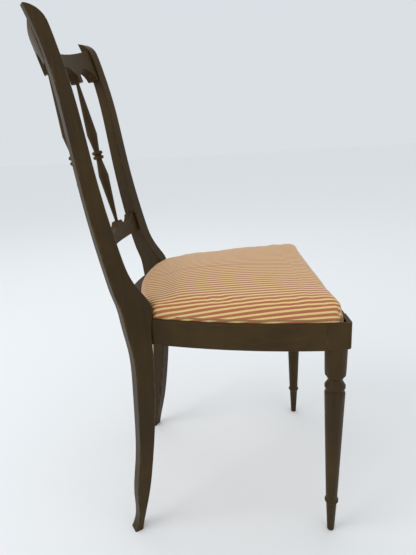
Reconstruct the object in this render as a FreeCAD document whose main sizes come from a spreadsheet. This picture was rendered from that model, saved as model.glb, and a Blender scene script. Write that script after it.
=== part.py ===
import FreeCAD, Part
import math
import os
import Sketcher
from FreeCAD import Placement, Rotation, Vector

# Spindle-back dining chair with a barrel-curved back and a loose drop-in seat.
# Millimetres, +Z up. The sitter faces -Y, and the sitter's right hand is at -X.
# The origin is on the floor, below the middle of the chair's bounding box.

SIZES = [
    # overall
    ("total_height", 909.0),
    ("front_width", 424.0),
    ("front_reach", 244.05),
    ("leg_setback", 348.0),
    ("rail_top", 429.0),
    ("rail_height", 47.0),
    ("back_width", 308.0),
    ("barrel_radius", 318.0),
    # rear legs and stiles
    ("stile_width", 28.7),
    ("stile_width_foot", 22.0),
    ("stile_width_tip", 19.5),
    ("stile_arris", 1.6),
    ("foot_depth", 16.5),
    ("shin_depth", 36.5),
    ("foot_sweep", 41.0),
    ("foot_splay", 13.6),
    ("sweep_height", 370.0),
    ("knee_rise", 27.0),
    ("horn_drop", 19.0),
    ("horn_round", 31.0),
    # front legs
    ("block_side", 39.0),
    ("block_arris", 3.0),
    ("collar_diameter", 37.6),
    ("collar_length", 46.0),
    ("bead_diameter", 35.0),
    ("neck_diameter", 25.2),
    ("shaft_diameter", 35.0),
    ("ankle_diameter", 20.4),
    ("ankle_ring_diameter", 24.6),
    ("ankle_height", 68.5),
    ("shaft_drop", 88.0),
    ("lower_bead_drop", 75.25),
    ("neck_drop", 63.0),
    ("upper_bead_drop", 51.5),
    ("toe_diameter", 13.0),
    # seat rails
    ("rail_thickness", 24.0),
    ("rail_arris", 3.0),
    ("side_bow", 1030.0),
    ("rear_rail_reach", 384.5),
    ("rear_rail_radius", 357.0),
    ("rear_rail_thickness", 30.0),
    ("rear_rail_inner_radius", 400.0),
    ("rebate_depth", 14.0),
    ("side_lip", 5.5),
    ("front_lip", 7.5),
    # back
    ("crest_foot", 826.5),
    ("crest_lean", 15.4),
    ("crest_thickness", 18.0),
    ("crest_back_step", 11.0),
    ("crest_middle", 47.0),
    ("crest_end", 62.0),
    ("crest_heel", 3.0),
    ("arch_rise", 25.5),
    ("arch_shoulder", 12.0),
    ("arch_span_end", 48.0),
    ("arch_end_radius", 26.0),
    ("cross_foot", 519.0),
    ("cross_lean", 11.0),
    ("cross_thickness", 15.0),
    ("cross_cusp", 38.5),
    ("cross_hollow", 22.0),
    ("cross_horn", 41.0),
    ("cross_span_end", 42.0),
    ("cross_end_radius", 22.0),
    ("cusp_width", 12.0),
    # spindles
    ("spindle_spread", 83.0),
    ("spindle_end_diameter", 6.8),
    ("spindle_ring_diameter", 20.0),
    ("spindle_bead_diameter", 21.2),
    ("spindle_waist_diameter", 11.4),
    ("spindle_bead_pitch", 8.4),
    ("spindle_ring_pitch", 82.0),
    ("spindle_tenon", 12.0),
    # joints of the frame
    ("tenon_thickness", 8.0),
    ("tenon_length", 15.0),
    ("tenon_height", 27.0),
    ("tenon_lift", 3.0),
    ("front_tenon_set", 5.5),
    ("rear_tenon_set", 3.0),
    ("back_tenon_thickness", 7.0),
    ("back_tenon_length", 13.0),
    ("crest_tenon_height", 38.0),
    ("crest_tenon_lift", 12.0),
    ("cross_tenon_height", 29.0),
    ("cross_tenon_lift", 6.0),
    ("fit", 0.05),
    # corner blocks
    ("corner_block_height", 26.0),
    ("corner_block_leg", 62.0),
    ("corner_block_toe", 6.0),
    ("corner_block_lift", 4.0),
    # loose seat
    ("seat_gap", 1.0),
    ("rest_gap", 0.3),
    ("seat_frame_thickness", 17.0),
    ("seat_bar_width", 46.0),
    ("seat_rear_reach", 357.5),
    ("seat_rear_radius", 340.0),
    ("seat_front_corner", 16.0),
    ("seat_rear_corner", 24.0),
    ("cushion_edge", 24.0),
    ("cushion_crown", 8.5),
    ("crown_reach", 150.0),
    ("cushion_roll", 11.0),
    ("cover_thickness", 1.2),
    ("cover_turn_under", 20.0),
    ("web_width", 50.0),
    ("web_thickness", 1.2),
    ("web_spacing", 88.0),
    ("web_front_line", 110.0),
    ("web_rear_line", 205.0),
    ("web_front_margin", 14.0),
    ("web_rear_lap", 30.0),
    ("web_side_margin", 22.0),
    ("hessian_thickness", 0.8),
    ("hessian_inset", 6.0),
    ("seat_tenon_width", 26.0),
    ("seat_tenon_thickness", 6.0),
]

# The line of a stile above the knee: share of the height from knee to tip,
# how far its centre lies behind the shin, and its depth there.
STILE_LINE = [
    (0.0, 4.0, 53.0),
    (0.042, 12.5, 47.0),
    (0.097, 23.0, 37.0),
    (0.20, 34.5, 31.8),
    (0.318, 44.5, 29.3),
    (0.539, 58.7, 25.6),
    (0.76, 71.5, 22.8),
    (0.892, 84.5, 22.0),
    (1.0, 101.0, 22.0),
]

X_AXIS = Vector(1, 0, 0)
Z_AXIS = Vector(0, 0, 1)

doc = FreeCAD.newDocument("Chair")
sheet = doc.addObject("Spreadsheet::Sheet", "Sizes")
for row, (alias, size) in enumerate(SIZES, 1):
    sheet.set(f"A{row}", alias)
    sheet.set(f"B{row}", str(size))
    sheet.setAlias(f"B{row}", alias)
doc.recompute()

nodes = []


def size(alias):
    """Value of one cell of the sheet."""
    return float(sheet.get(alias))


def finish(obj, name):
    """Mark an object as one piece of the chair, under the name of its file."""
    obj.Label = name
    nodes.append((name, obj))
    return obj


def bind(obj, **bindings):
    """Bind properties of an object to expressions over the sheet."""
    for prop, expression in bindings.items():
        obj.setExpression(prop, expression)
    return obj


# Places worked out from the driving sizes

front_y = -size("front_reach")
rail_top = size("rail_top")
rail_under = rail_top - size("rail_height")
ledge_z = rail_top - size("rebate_depth")
front_half = size("front_width") / 2
leg_x = front_half - size("block_side") / 2
leg_y = front_y + size("block_side") / 2
block_back_y = front_y + size("block_side")
back_half = size("back_width") / 2
barrel_radius = size("barrel_radius")
barrel_angle = math.degrees(math.asin(back_half / barrel_radius))
barrel_sagitta = barrel_radius * (1 - math.cos(math.radians(barrel_angle)))
knee_z = rail_top + size("knee_rise")
shin_y = front_y + size("leg_setback")


def stile_section(z):
    """Centre (x, y) of a stile at height z, its width and its depth."""
    sweep_height = size("sweep_height")
    if z < sweep_height:
        drop = (sweep_height - z) / sweep_height
        y = shin_y + size("foot_sweep") * drop ** 2
        x = back_half + size("foot_splay") * drop ** 1.5
        depth = size("foot_depth") + (size("shin_depth") - size("foot_depth")) * (1 - drop) ** 0.75
    else:
        share = (z - knee_z) / (size("total_height") - knee_z)
        line = [((sweep_height - knee_z) / (size("total_height") - knee_z), 0.0, size("shin_depth"))]
        line += STILE_LINE
        lower = max(i for i in range(len(line) - 1) if line[i][0] <= share or i == 0)
        (s0, y0, d0), (s1, y1, d1) = line[lower], line[lower + 1]
        part = (share - s0) / (s1 - s0)
        x = back_half
        y = shin_y + y0 + (y1 - y0) * part
        depth = d0 + (d1 - d0) * part
    if z < rail_top:
        width = size("stile_width_foot")
        width += (size("stile_width") - size("stile_width_foot")) * (z / rail_top) ** 0.7
    else:
        part = (z - rail_top) / (size("total_height") - rail_top)
        width = size("stile_width") + (size("stile_width_tip") - size("stile_width")) * part
    return x, y, width, depth


# Sketch helpers

def origin_plane(body, role):
    """One of a body's own origin planes."""
    return next(f for f in body.Origin.OriginFeatures if f.Role == role)


def new_body(name, placement=None):
    """An empty body at its place."""
    body = doc.addObject("PartDesign::Body", name)
    if placement:
        body.Placement = placement
    return body


def new_sketch(body, name, role="XY_Plane", offset=None):
    """A sketch on one of the body's origin planes."""
    sketch = body.newObject("Sketcher::SketchObject", name)
    sketch.AttachmentSupport = [(origin_plane(body, role), "")]
    sketch.MapMode = "FlatFace"
    if offset:
        sketch.AttachmentOffset = offset
    return sketch


def arc_edge(start, end, radius, side):
    """Arc from start to end; side is +1 for a centre on the left of the way, -1 on the right."""
    chord = end - start
    normal = Vector(-chord.y, chord.x, 0).normalize()
    reach = math.sqrt(max(radius ** 2 - (chord.Length / 2) ** 2, 0.0))
    centre = (start + end) / 2 + normal * (reach * side)
    first, last = (start, end) if side > 0 else (end, start)
    a0 = math.atan2(first.y - centre.y, first.x - centre.x)
    a1 = math.atan2(last.y - centre.y, last.x - centre.x)
    return Part.ArcOfCircle(Part.Circle(centre, Z_AXIS, radius), a0, a1)


def draw(sketch, path):
    """Closed outline whose corners are driven by expressions.

    Each step of the path is (x, y) for a line to that corner, or
    (x, y, radius, side) for an arc to it; x, y and radius are expressions.
    """
    def number(expression):
        return float(sketch.evalExpression(str(expression)))

    corners = [Vector(number(step[0]), number(step[1]), 0) for step in path]
    edges = []
    for i, step in enumerate(path):
        start, end = corners[i - 1], corners[i]
        if len(step) == 2:
            geo = sketch.addGeometry(Part.LineSegment(start, end), False)
            edges.append((geo, 1, 2))
        else:
            radius = number(step[2])
            geo = sketch.addGeometry(arc_edge(start, end, radius, step[3]), False)
            edges.append((geo, 1, 2) if step[3] > 0 else (geo, 2, 1))
    for i, (geo, first, last) in enumerate(edges):
        after, after_first, _ = edges[(i + 1) % len(edges)]
        sketch.addConstraint(Sketcher.Constraint("Coincident", geo, last, after, after_first))
    for i, step in enumerate(path):
        geo, _, last = edges[i]
        for kind, expression in (("DistanceX", step[0]), ("DistanceY", step[1])):
            value = number(expression)
            index = sketch.addConstraint(Sketcher.Constraint(kind, -1, 1, geo, last, value))
            if isinstance(expression, str):
                sketch.setExpression(f"Constraints[{index}]", expression)
        if len(step) == 4:
            index = sketch.addConstraint(Sketcher.Constraint("Radius", geo, number(step[2])))
            if isinstance(step[2], str):
                sketch.setExpression(f"Constraints[{index}]", step[2])
    return sketch


def pad(body, sketch, length, midplane=False):
    """Pad a sketch by an expression."""
    feature = body.newObject("PartDesign::Pad", "Pad")
    feature.Profile = sketch
    feature.Midplane = midplane
    bind(feature, Length=length)
    return feature


def box(name, length, width, height, placement):
    """Box with bound sides, centred on its placement in X and Y, standing on it in Z."""
    solid = doc.addObject("Part::Box", name)
    bind(solid, Length=length, Width=width, Height=height)
    doc.recompute()
    shift = Vector(-solid.Length.Value / 2, -solid.Width.Value / 2, 0)
    solid.Placement = placement.multiply(Placement(shift, Rotation()))
    return solid


def fuse(name, shapes):
    """Union of several objects."""
    obj = doc.addObject("Part::MultiFuse", name)
    obj.Shapes = shapes
    return obj


def common(name, shapes):
    """What several objects share."""
    obj = doc.addObject("Part::MultiCommon", name)
    obj.Shapes = shapes
    return obj


def cut(name, base, tools):
    """One object less several others."""
    tool = tools[0]
    if len(tools) > 1:
        tool = doc.addObject("Part::Compound", name + "_waste")
        tool.Links = tools
    obj = doc.addObject("Part::Cut", name)
    obj.Base = base
    obj.Tool = tool
    return obj


def mirrored(source, name):
    """The same piece on the sitter's left."""
    obj = doc.addObject("Part::Mirroring", name)
    obj.Source = source
    obj.Normal = X_AXIS
    return obj


def round_edges(name, base, radius, chosen):
    """Fillet on the edges that the test picks."""
    doc.recompute()
    obj = doc.addObject("Part::Fillet", name)
    obj.Base = base
    picked = [i for i, edge in enumerate(base.Shape.Edges, 1) if chosen(edge)]
    obj.Edges = [(i, radius, radius) for i in picked]
    return obj


# Rear legs: a foot that sweeps back and out, a knee at the seat, and a stile

def loft_heights():
    """Heights of the sections of a rear leg, from the floor to above the tip."""
    low = [size("sweep_height") * i / 5 for i in range(6)]
    reach = size("total_height") - knee_z
    high = [knee_z + share * reach for share, _, _ in STILE_LINE]
    return low + [rail_top - 12] + high


def eased_rectangle(sketch, width, depth, ease):
    """Rectangle about the origin with its four corners taken off."""
    x = width / 2
    y = depth / 2
    corners = [
        (ease - x, -y),
        (x - ease, -y),
        (x, ease - y),
        (x, y - ease),
        (x - ease, y),
        (ease - x, y),
        (-x, y - ease),
        (-x, ease - y),
    ]
    points = [Vector(*corner, 0) for corner in corners]
    for i, point in enumerate(points):
        sketch.addGeometry(Part.LineSegment(points[i - 1], point), False)


def rear_leg_blank():
    """The sitter's right rear leg before its mortises, in the chair's own frame."""
    body = new_body("rear_leg_blank")
    sketches = []
    for z in loft_heights():
        x, y, width, depth = stile_section(z)
        place = Placement(Vector(-x, y, z), Rotation(Z_AXIS, barrel_angle))
        sketch = new_sketch(body, "StileSection", offset=place)
        eased_rectangle(sketch, width, depth, size("stile_arris"))
        sketches.append(sketch)
    loft = body.newObject("PartDesign::AdditiveLoft", "Stile")
    loft.Profile = sketches[0]
    loft.Sections = sketches[1:]
    return body


def horn_waste():
    """What is sawn away to round the front of a stile's tip."""
    x, y, width, depth = stile_section(size("total_height"))
    drop = size("horn_drop")
    lower_y = stile_section(size("total_height") - drop)[1]
    frame = Placement(Vector(-x, y, size("total_height")), Rotation(Z_AXIS, barrel_angle))
    body = new_body("horn_waste", frame)
    sketch = new_sketch(body, "HornSketch", "YZ_Plane")
    front = lower_y - y - depth / 2
    clear = 3 * drop
    draw(sketch, [
        (front, "-Sizes.horn_drop"),
        (depth / 2, 0, "Sizes.horn_round", -1),
        (depth / 2 + clear, 0),
        (depth / 2 + clear, clear),
        (front - clear, clear),
        (front - clear, "-Sizes.horn_drop"),
    ])
    pad(body, sketch, "2 * Sizes.stile_width", midplane=True)
    return body


# Front legs: a square block over a turned leg

def front_leg_blank():
    """The sitter's right front leg before its mortises and its seat notch."""
    body = new_body("front_leg_blank", Placement(Vector(-leg_x, leg_y, 0), Rotation()))
    under = "Sizes.rail_top - Sizes.rail_height"
    lower_bead = f"{under} - Sizes.lower_bead_drop"
    upper_bead = f"{under} - Sizes.upper_bead_drop"
    turned = new_sketch(body, "TurnedProfile", "XZ_Plane")
    toe = "Sizes.toe_diameter / 2"
    ankle = "Sizes.ankle_diameter / 2"
    ankle_ring = "Sizes.ankle_ring_diameter / 2"
    bead = "Sizes.bead_diameter / 2"
    neck = "Sizes.neck_diameter / 2"
    draw(turned, [
        ("0", "0"),
        (f"{toe} - 1", "0"),
        (toe, "1.5"),
        (f"{ankle} - 0.6", "Sizes.ankle_height - 4.5"),
        (ankle_ring, "Sizes.ankle_height - 1.5"),
        (ankle_ring, "Sizes.ankle_height + 1.5"),
        (ankle, "Sizes.ankle_height + 4.5"),
        ("Sizes.shaft_diameter / 2", f"{under} - Sizes.shaft_drop"),
        (f"{bead} - 2.4", f"{lower_bead} - 6.75"),
        (f"{bead} - 2.4", f"{lower_bead} - 4.75"),
        (bead, f"{lower_bead} - 1.75"),
        (bead, f"{lower_bead} + 1.75"),
        (neck, f"{under} - Sizes.neck_drop - 2"),
        (neck, f"{under} - Sizes.neck_drop + 2"),
        (f"{bead} - 1.8", f"{upper_bead} - 3.5"),
        (bead, f"{upper_bead} - 1.5"),
        (bead, f"{upper_bead} + 1.5"),
        ("Sizes.collar_diameter / 2 - 0.9", f"{under} - Sizes.collar_length"),
        ("Sizes.collar_diameter / 2", f"{under} - 2"),
        ("Sizes.collar_diameter / 2", f"{under} + 6"),
        ("0", f"{under} + 6"),
    ])
    turning = body.newObject("PartDesign::Revolution", "Turning")
    turning.Profile = turned
    turning.ReferenceAxis = (turned, ["V_Axis"])
    turning.Angle = 360
    block = new_sketch(body, "BlockOutline", offset=Placement(Vector(0, 0, rail_under), Rotation()))
    half = "Sizes.block_side / 2"
    draw(block, [
        (f"-{half}", f"-{half}"),
        (half, f"-{half}"),
        (half, half),
        (f"-{half}", half),
    ])
    head = pad(body, block, "Sizes.rail_height")
    doc.recompute()
    corner = body.newObject("PartDesign::Fillet", "BlockArris")
    x = size("block_side") / 2
    names = []
    for i, edge in enumerate(head.Shape.Edges, 1):
        point = edge.CenterOfMass
        outer = abs(point.x + x) < 0.01 and abs(point.y + x) < 0.01
        low = abs(point.z - rail_under) < 0.01 and (abs(point.x + x) < 0.01 or abs(point.y + x) < 0.01)
        if outer or low:
            names.append(f"Edge{i}")
    corner.Base = (head, names)
    bind(corner, Radius="Sizes.block_arris")
    return body


# Seat rails

def circle_centre(start, end, radius):
    """Centre, on the right of the way, of the circle through two points."""
    chord = end - start
    normal = Vector(chord.y, -chord.x, 0).normalize()
    return (start + end) / 2 + normal * math.sqrt(radius ** 2 - (chord.Length / 2) ** 2)


def stile_corner(z, out, back):
    """Plan corner of the right stile: out is +1 for its outer side, back is +1 for its rear."""
    x, y, width, depth = stile_section(z)
    angle = math.radians(barrel_angle)
    across = Vector(-math.cos(angle), -math.sin(angle), 0) * (out * width / 2)
    along = Vector(-math.sin(angle), math.cos(angle), 0) * (back * depth / 2)
    return Vector(-x, y, 0) + across + along


side_front = Vector(-front_half, block_back_y, 0)
side_rear = stile_corner(rail_top - size("rail_height") / 2, 1, -1) + Vector(2.2, 1.2, 0)
side_centre = circle_centre(side_front, side_rear, size("side_bow"))
rear_centre = Vector(0, front_y + size("rear_rail_reach") - size("rear_rail_radius"), 0)
seat_rear_centre = Vector(0, front_y + size("seat_rear_reach") - size("seat_rear_radius"), 0)


def disc(name, radius, centre, low, high):
    """Upright cylinder between two heights; its radius is an expression."""
    solid = doc.addObject("Part::Cylinder", name)
    bind(solid, Radius=radius)
    solid.Height = high - low
    solid.Placement = Placement(Vector(centre.x, centre.y, low), Rotation())
    return solid


def slab(name, x0, x1, y0, y1, low, high):
    """Plain block between two corners, used to bound other solids."""
    solid = doc.addObject("Part::Box", name)
    solid.Length = x1 - x0
    solid.Width = y1 - y0
    solid.Height = high - low
    solid.Placement = Placement(Vector(x0, y0, low), Rotation())
    return solid


def bell(name, inset, rear, front, low, high):
    """Prism of the seat's bell-shaped plan.

    inset is how far its sides lie inside the outer faces of the side rails,
    rear is the radius of its back edge about the seat's own centre, and
    front is the distance of its straight edge behind the front face.
    """
    left_centre = Vector(-side_centre.x, side_centre.y, 0)
    reach = size("front_width")
    return common(name, [
        disc(name + "_right_side", f"Sizes.side_bow - {inset}", side_centre, low, high),
        disc(name + "_left_side", f"Sizes.side_bow - {inset}", left_centre, low, high),
        disc(name + "_rear", rear, seat_rear_centre, low, high),
        slab(name + "_front", -reach, reach, front_y + front, front_y + 2 * reach, low, high),
    ])


def side_rail_blank():
    """The sitter's right side rail, bowed, with its rebate, running into leg and stile."""
    low, high = rail_under, rail_top
    hull = disc("side_outer", "Sizes.side_bow", side_centre, low, high)
    core = disc("side_inner", "Sizes.side_bow - Sizes.rail_thickness", side_centre, low - 1, high + 1)
    ledge = disc("side_rebate", "Sizes.side_bow - Sizes.side_lip", side_centre, ledge_z, high + 1)
    span = slab("side_span", -front_half - 5, 0, block_back_y, side_rear.y + 14, low, high)
    ring = cut("side_ring", common("side_bar", [hull, span]), [core, ledge])
    return ring


def front_rail_blank():
    """The straight front rail between the leg blocks, with its rebate."""
    inner = leg_x - size("block_side") / 2
    body = new_body("front_rail_blank", Placement(Vector(-inner, front_y, rail_under), Rotation()))
    sketch = new_sketch(body, "FrontRailSection", "YZ_Plane")
    draw(sketch, [
        ("0", "0"),
        ("Sizes.rail_thickness", "0"),
        ("Sizes.rail_thickness", "Sizes.rail_height - Sizes.rebate_depth"),
        ("Sizes.front_lip", "Sizes.rail_height - Sizes.rebate_depth"),
        ("Sizes.front_lip", "Sizes.rail_height"),
        ("Sizes.rail_arris", "Sizes.rail_height"),
        ("0", "Sizes.rail_height - Sizes.rail_arris", "Sizes.rail_arris", 1),
    ])
    pad(body, sketch, "Sizes.front_width - 2 * Sizes.block_side")
    return body


def rear_rail_blank():
    """The curved rear rail, running into both stiles, with its rebate."""
    low, high = rail_under, rail_top
    hull = disc("rear_outer", "Sizes.rear_rail_radius", rear_centre, low, high)
    inner_y = front_y + size("rear_rail_reach") - size("rear_rail_thickness")
    inner_centre = Vector(0, inner_y - size("rear_rail_inner_radius"), 0)
    core = disc("rear_inner", "Sizes.rear_rail_inner_radius", inner_centre, low - 1, high + 1)
    ledge = disc("rear_rebate", "Sizes.seat_rear_radius + Sizes.seat_gap",
                 seat_rear_centre, ledge_z, high + 1)
    span = slab("rear_span", -back_half, back_half, shin_y - 60, front_y + 400, low, high)
    x, y, width, depth = stile_section(low)
    outside = doc.addObject("Part::Box", "beyond_stile")
    outside.Length = 60
    outside.Width = depth / 2 + 60
    outside.Height = high - low + 2
    turned = Placement(Vector(-x, y, low - 1), Rotation(Z_AXIS, barrel_angle))
    outside.Placement = turned.multiply(Placement(Vector(width / 2 - 60, -60, 0), Rotation()))
    outside_left = mirrored(outside, "beyond_stile_left")
    return cut("rear_ring", common("rear_bar", [hull, span]), [core, ledge, outside, outside_left])


# Back rails: a plan curve and an elevation, leaned back together

def barrel_place(foot, lean):
    """Frame of a back rail: origin on the barrel line at the rail's foot, leaned back."""
    x, y, width, depth = stile_section(foot)
    return Placement(Vector(0, y + barrel_sagitta, foot), Rotation(X_AXIS, -lean))


def back_plan(name, place, outer, inner, high):
    """Curved plank between two radii about the barrel's centre."""
    solids = []
    for suffix, radius, low, top in (("_outer", outer, 0, high), ("_inner", inner, -1, high + 1)):
        solid = doc.addObject("Part::Cylinder", name + suffix)
        bind(solid, Radius=radius)
        solid.Height = top - low
        solid.Placement = place.multiply(Placement(Vector(0, -barrel_radius, low), Rotation()))
        solids.append(solid)
    return cut(name, solids[0], [solids[1]])


def radius_of(chord, sagitta):
    """Radius of the arc with this chord and sagitta."""
    return ((chord / 2) ** 2 + sagitta ** 2) / (2 * sagitta)


def crest_elevation(place):
    """Front view of the crest rail: a dipped top and four arches with cusps between them."""
    body = new_body("crest_elevation", place)
    sketch = new_sketch(body, "CrestElevation", "XZ_Plane")
    end = back_half
    half = "Sizes.cusp_width / 2"
    spread = "Sizes.spindle_spread"
    shoulder = "Sizes.arch_shoulder"
    heel = "Sizes.crest_heel"
    heel_x = f"{spread} + {half} + Sizes.arch_span_end"
    outer_radius = "Sizes.arch_end_radius"
    span = size("spindle_spread") - size("cusp_width")
    inner_radius = radius_of(span, size("arch_rise") - size("arch_shoulder"))
    top_radius = radius_of(2 * end, size("crest_end") - size("crest_middle"))
    draw(sketch, [
        (f"-({half})", "0"),
        (half, "0"),
        (half, shoulder),
        (f"{spread} - {half}", shoulder, inner_radius, -1),
        (f"{spread} - {half}", "0"),
        (f"{spread} + {half}", "0"),
        (f"{spread} + {half}", shoulder),
        (heel_x, heel, outer_radius, -1),
        (end, heel),
        (end, "Sizes.crest_end"),
        (-end, "Sizes.crest_end", top_radius, -1),
        (-end, heel),
        (f"-({heel_x})", heel),
        (f"-({spread} + {half})", shoulder, outer_radius, -1),
        (f"-({spread} + {half})", "0"),
        (f"-({spread} - {half})", "0"),
        (f"-({spread} - {half})", shoulder),
        (f"-({half})", shoulder, inner_radius, -1),
    ])
    pad(body, sketch, "2 * Sizes.barrel_radius / 3", midplane=True)
    return body


def cross_elevation(place):
    """Front view of the lower cross rail: a straight foot and four hollows on top."""
    body = new_body("cross_elevation", place)
    sketch = new_sketch(body, "CrossElevation", "XZ_Plane")
    end = back_half
    half = "Sizes.cusp_width / 2"
    spread = "Sizes.spindle_spread"
    cusp = "Sizes.cross_cusp"
    span = size("spindle_spread") - size("cusp_width")
    inner_radius = radius_of(span, size("cross_cusp") - size("cross_hollow"))
    outer_x = f"{spread} + {half} + Sizes.cross_span_end"
    outer_radius = "Sizes.cross_end_radius"
    draw(sketch, [
        (-end, "0"),
        (end, "0"),
        (end, "Sizes.cross_horn"),
        (outer_x, "Sizes.cross_horn"),
        (f"{spread} + {half}", cusp, outer_radius, -1),
        (f"{spread} - {half}", cusp),
        (half, cusp, inner_radius, -1),
        (f"-({half})", cusp),
        (f"-({spread} - {half})", cusp, inner_radius, -1),
        (f"-({spread} + {half})", cusp),
        (f"-({outer_x})", "Sizes.cross_horn", outer_radius, -1),
        (-end, "Sizes.cross_horn"),
    ])
    pad(body, sketch, "2 * Sizes.barrel_radius / 3", midplane=True)
    return body


crest_place = barrel_place(size("crest_foot"), size("crest_lean"))
cross_place = barrel_place(size("cross_foot"), size("cross_lean"))


# Spindles

def on_barrel(x):
    """How far the barrel line lies forward of its middle at a distance x from it."""
    return barrel_radius - math.sqrt(barrel_radius ** 2 - x ** 2)


def spindle_ends(x):
    """Top of the cross rail's cusp and foot of the crest rail's cusp above each other."""
    shift = Vector(x, -on_barrel(x), 0)
    low = cross_place.multVec(shift + Vector(0, 0, size("cross_cusp")))
    crest_shift = Vector(0, size("crest_back_step") - size("crest_thickness") / 2, 0)
    high = crest_place.multVec(shift + crest_shift)
    return low, high


def spindle_place(x):
    """Frame whose Z runs up the axis of a spindle, from its lower shoulder."""
    low, high = spindle_ends(x)
    return Placement(low, Rotation(Z_AXIS, high - low))


def spindle_length(x):
    low, high = spindle_ends(x)
    return (high - low).Length


def spindle(name, x):
    """Turned spindle: two long vases foot to foot with a double bead between them."""
    body = new_body(name, spindle_place(x))
    sketch = new_sketch(body, "SpindleProfile", "XZ_Plane")
    middle = spindle_length(x) / 2
    ring = size("spindle_ring_pitch") / 2
    bead = size("spindle_bead_pitch")
    r_end = "Sizes.spindle_end_diameter / 2"
    r_ring = "Sizes.spindle_ring_diameter / 2"
    r_waist = "Sizes.spindle_waist_diameter / 2"
    r_bead = "Sizes.spindle_bead_diameter / 2"
    tenon = size("spindle_tenon")
    lower = [
        (0, -tenon),
        (r_end, -tenon),
        (r_end, 3),
        (r_ring, middle - ring - 1.0),
        (r_ring, middle - ring + 1.0),
        (r_waist, middle - bead - 1.4),
        (r_waist, middle - bead + 0.4),
        (f"{r_bead} - 2.2", middle - bead + 0.4),
        (r_bead, middle - bead / 2 - 1.4),
        (r_bead, middle - bead / 2 + 1.4),
        (f"{r_bead} - 3.4", middle - 0.6),
    ]
    upper = [(radius, 2 * middle - along) for radius, along in reversed(lower)]
    draw(sketch, lower + upper)
    turning = body.newObject("PartDesign::Revolution", "Turning")
    turning.Profile = sketch
    turning.ReferenceAxis = (sketch, ["V_Axis"])
    turning.Angle = 360
    return body


def spindle_socket(name, x):
    """Bore for both tenons of a spindle."""
    solid = doc.addObject("Part::Cylinder", name)
    bind(solid, Radius="Sizes.spindle_end_diameter / 2 + Sizes.fit")
    tenon = size("spindle_tenon") + size("fit")
    solid.Height = spindle_length(x) + 2 * tenon
    solid.Placement = spindle_place(x).multiply(Placement(Vector(0, 0, -tenon), Rotation()))
    return solid


# Tenons and their mortises

def tenon_pair(name, place, thickness, height, length):
    """A tenon that runs along +Y of its place, and the larger mortise for it."""
    tenon = box(name + "_tenon", thickness, length, height, place)
    mortise = box(name + "_mortise", f"{thickness} + 2 * Sizes.fit", f"{length} + 2 * Sizes.fit",
                  f"{height} + 2 * Sizes.fit",
                  place.multiply(Placement(Vector(0, 0, -size("fit")), Rotation())))
    return tenon, mortise


def side_tangent(y):
    """Point on the middle line of the right side rail at a distance y, and its heading."""
    radius = size("side_bow") - (size("rail_thickness") + size("side_lip")) / 2
    x = side_centre.x - math.sqrt(radius ** 2 - (y - side_centre.y) ** 2)
    heading = math.degrees(math.atan2(y - side_centre.y, side_centre.x - x))
    return Vector(x, y, 0), heading


def frame_tenons():
    """Every tenon of the right half of the frame with the mortise that takes it."""
    pairs = {}
    low = rail_under + size("tenon_lift")
    rail_tenon = ("Sizes.tenon_thickness", "Sizes.tenon_height", "2 * Sizes.tenon_length")
    point, heading = side_tangent(block_back_y)
    place = Placement(Vector(point.x, point.y, low), Rotation(Z_AXIS, -heading))
    pairs["side_front"] = tenon_pair("side_front", place, *rail_tenon)
    point, heading = side_tangent(side_rear.y + 1)
    place = Placement(Vector(point.x, point.y, low), Rotation(Z_AXIS, -heading))
    pairs["side_rear"] = tenon_pair("side_rear", place, *rail_tenon)
    inner_x = -(leg_x - size("block_side") / 2)
    place = Placement(Vector(inner_x, front_y + size("front_lip") + size("front_tenon_set"), low), Rotation(Z_AXIS, 90))
    pairs["front"] = tenon_pair("front", place, *rail_tenon)
    x, y, width, depth = stile_section(low + size("tenon_height") / 2)
    inner = (stile_corner(low, -1, -1) + stile_corner(low, -1, 1)) / 2
    turn = math.radians(barrel_angle)
    inner = inner + Vector(math.sin(turn), -math.cos(turn), 0) * size("rear_tenon_set")
    place = Placement(Vector(inner.x, inner.y, low), Rotation(Z_AXIS, 90 + barrel_angle))
    pairs["rear"] = tenon_pair("rear", place, *rail_tenon)
    for name, frame, height, rise, back in (
            ("crest", crest_place, "Sizes.crest_tenon_height", size("crest_tenon_lift"),
             size("crest_back_step") - size("crest_thickness") / 2),
            ("cross", cross_place, "Sizes.cross_tenon_height", size("cross_tenon_lift"), 0)):
        angle = barrel_angle - math.degrees(size("stile_width") / 2 / barrel_radius) * 0.86
        radius = barrel_radius + back
        spot = Vector(-radius * math.sin(math.radians(angle)),
                      radius * math.cos(math.radians(angle)) - barrel_radius, rise)
        place = frame.multiply(Placement(spot, Rotation(Z_AXIS, 90 + angle)))
        pairs[name] = tenon_pair(name, place, "Sizes.back_tenon_thickness", height,
                                 "2 * Sizes.back_tenon_length")
    return pairs


print("barrel angle", round(barrel_angle, 2), "sagitta", round(barrel_sagitta, 2))

tenons = frame_tenons()

rear_blank = rear_leg_blank()
horn = horn_waste()
rear_plain = cut("rear_leg_plain", rear_blank, [horn])
rear_plain_left = mirrored(rear_plain, "rear_leg_plain_left")
horn_left = mirrored(horn, "horn_waste_left")

rear_leg_right = finish(cut("rear_leg_right", rear_plain,
                            [tenons[k][1] for k in ("side_rear", "rear", "crest", "cross")]),
                        "rear_leg_right")
rear_leg_left = finish(mirrored(rear_leg_right, "rear_leg_left"), "rear_leg_left")

seat_notch = bell("seat_notch", "Sizes.side_lip", "Sizes.seat_rear_radius + Sizes.seat_gap",
                  size("front_lip"), ledge_z, rail_top + 1)
front_leg_right = finish(cut("front_leg_right", front_leg_blank(),
                             [tenons["side_front"][1], tenons["front"][1], seat_notch]),
                         "front_leg_right")
front_leg_left = finish(mirrored(front_leg_right, "front_leg_left"), "front_leg_left")

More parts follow.
